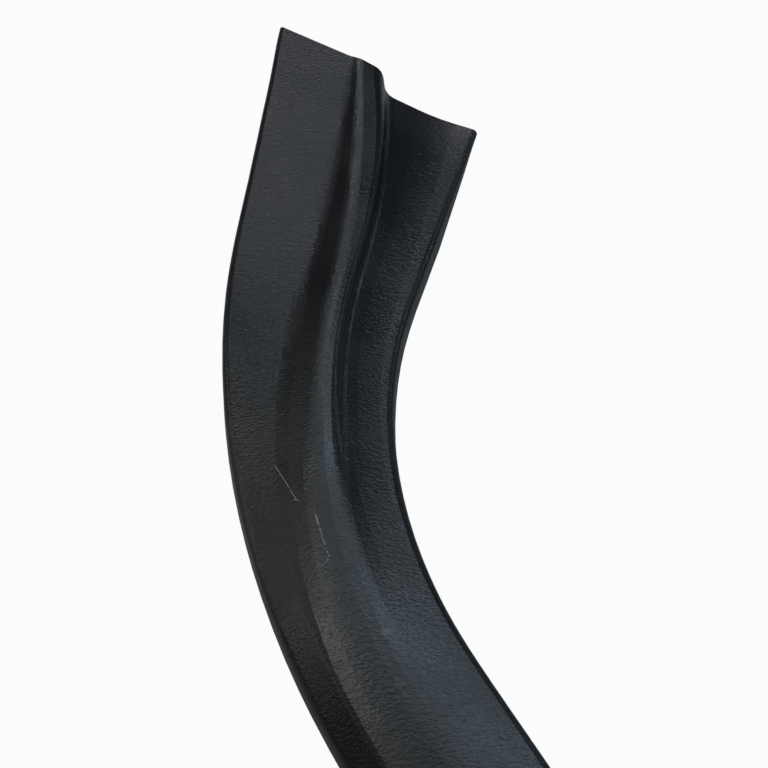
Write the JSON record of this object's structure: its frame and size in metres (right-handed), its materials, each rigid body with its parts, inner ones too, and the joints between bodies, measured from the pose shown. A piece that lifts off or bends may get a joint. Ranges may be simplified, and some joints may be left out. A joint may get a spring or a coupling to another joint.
{
  "type": "sill trim",
  "caption": "Curved moulded car sill trim with a grained show face, a raised crown that steps down at the swept end, ribs, spring clips and locating pins under it.",
  "frame": {"origin": "centre of the main locating pin, on the plane of the body panel that the trim is pressed onto", "axes": "+X along the straight sill run to its plain end, +Y across to the inner edge of the bend, +Z out of the body panel, so the show face looks up"},
  "size_m": [0.6066, 0.2116, 0.0353],
  "materials": {
    "grained_plastic": "satin black with a moulded leather grain",
    "spring_steel": "zinc-coated"
  },
  "bodies": {
    "root": {"trim_panel": "grained_plastic", "spring_clips": "spring_steel"}
  },
  "joints": []
}
